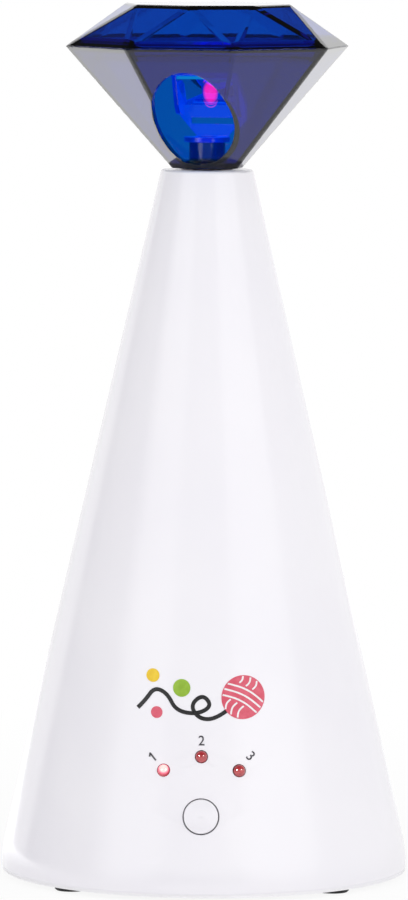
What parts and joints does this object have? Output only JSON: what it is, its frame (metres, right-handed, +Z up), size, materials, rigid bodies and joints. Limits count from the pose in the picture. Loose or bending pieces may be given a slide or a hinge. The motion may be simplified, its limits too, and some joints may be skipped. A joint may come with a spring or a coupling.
{
  "type": "automatic cat laser toy",
  "caption": "Tall white cone on rubber feet with a turning faceted blue gem on top; a laser beam leaves the gem's oval window. One mode button with indicator lamps.",
  "frame": {"origin": "centre of the footprint, on the surface that the feet stand on", "axes": "+Z up along the cone and spindle axis, -Y towards the button and lamps, +X to the viewer's right"},
  "size_m": [0.1, 0.1, 0.2147],
  "materials": {
    "white_housing": "gloss",
    "white_base": "satin",
    "white_button": "gloss",
    "cell_jacket": "gloss",
    "nickel_contact": "polished",
    "foot_rubber": "matte",
    "zinc_screw": "satin",
    "switch_black": "matte",
    "board_green": "satin",
    "chip_black": "matte",
    "chassis_grey": "matte",
    "motor_can": "satin",
    "motor_cap": "matte",
    "shaft_steel": "polished",
    "pinion_brass": "satin",
    "gear_acetal": "satin",
    "spindle_acetal": "satin",
    "bush_bronze": "satin",
    "laser_brass": "satin",
    "laser_lens": "polished",
    "gem_blue": "polished",
    "bracket_blue": "gloss",
    "mirror_glass": "polished",
    "led_red": "polished",
    "led_red_lit": "polished"
  },
  "bodies": {
    "base": {"cone_housing": "white_housing", "base_plate": "white_base", "battery_cells": "cell_jacket", "battery_contacts": "nickel_contact", "battery_springs": "nickel_contact", "rubber_feet": "foot_rubber", "base_screws": "zinc_screw", "tact_switch": "switch_black", "control_board": "board_green", "control_chip": "chip_black", "board_screws": "zinc_screw", "chassis_plate": "chassis_grey", "upper_plate": "chassis_grey", "chassis_screws": "zinc_screw", "motor_case": "motor_can", "motor_end_cap": "motor_cap", "first_axle": "shaft_steel", "second_axle": "shaft_steel", "plate_bush": "bush_bronze", "deck_bush": "bush_bronze", "laser_module": "laser_brass", "laser_lens": "laser_lens", "led_left": "led_red_lit", "led_middle": "led_red", "led_right": "led_red"},
    "head": {"gem_pavilion": "gem_blue", "gem_crown": "gem_blue", "mirror_bracket": "bracket_blue", "mirror": "mirror_glass", "spindle": "spindle_acetal", "spindle_gear": "gear_acetal"},
    "second_gear": {"second_gear": "gear_acetal"},
    "first_gear": {"first_gear": "gear_acetal"},
    "motor_rotor": {"motor_shaft": "shaft_steel", "motor_pinion": "pinion_brass"},
    "button": {"mode_button": "white_button", "switch_plunger": "switch_black"},
    "door": {"battery_door": "white_base"}
  },
  "joints": [
    {"name": "head_spin", "type": "hinge", "parent": "base", "child": "head", "pos_m": [0, 0, 0.1741], "axis": [0, 0, 1], "continuous": true},
    {"name": "second_gear_spin", "type": "hinge", "parent": "base", "child": "second_gear", "pos_m": [0.011, 0.0102, 0.085], "axis": [0, 0, 1], "continuous": true},
    {"name": "first_gear_spin", "type": "hinge", "parent": "base", "child": "first_gear", "pos_m": [0, 0.015, 0.085], "axis": [0, 0, 1], "continuous": true},
    {"name": "motor_spin", "type": "hinge", "parent": "base", "child": "motor_rotor", "pos_m": [-0.011, 0.0102, 0.085], "axis": [0, 0, 1], "continuous": true},
    {"name": "button_press", "type": "slide", "parent": "base", "child": "button", "axis": [0, 0.9746, -0.224], "range_m": [0, 0.0005], "stiffness_N_per_m": 1500},
    {"name": "door_hinge", "type": "hinge", "parent": "base", "child": "door", "pos_m": [0, 0.0293, 0.0023], "axis": [1, 0, 0], "range_deg": [0, 95]}
  ],
  "couplings": [
    {"joint": "second_gear_spin", "follows": "head_spin", "ratio": -5},
    {"joint": "first_gear_spin", "follows": "head_spin", "ratio": 19},
    {"joint": "motor_spin", "follows": "head_spin", "ratio": -72.2}
  ]
}
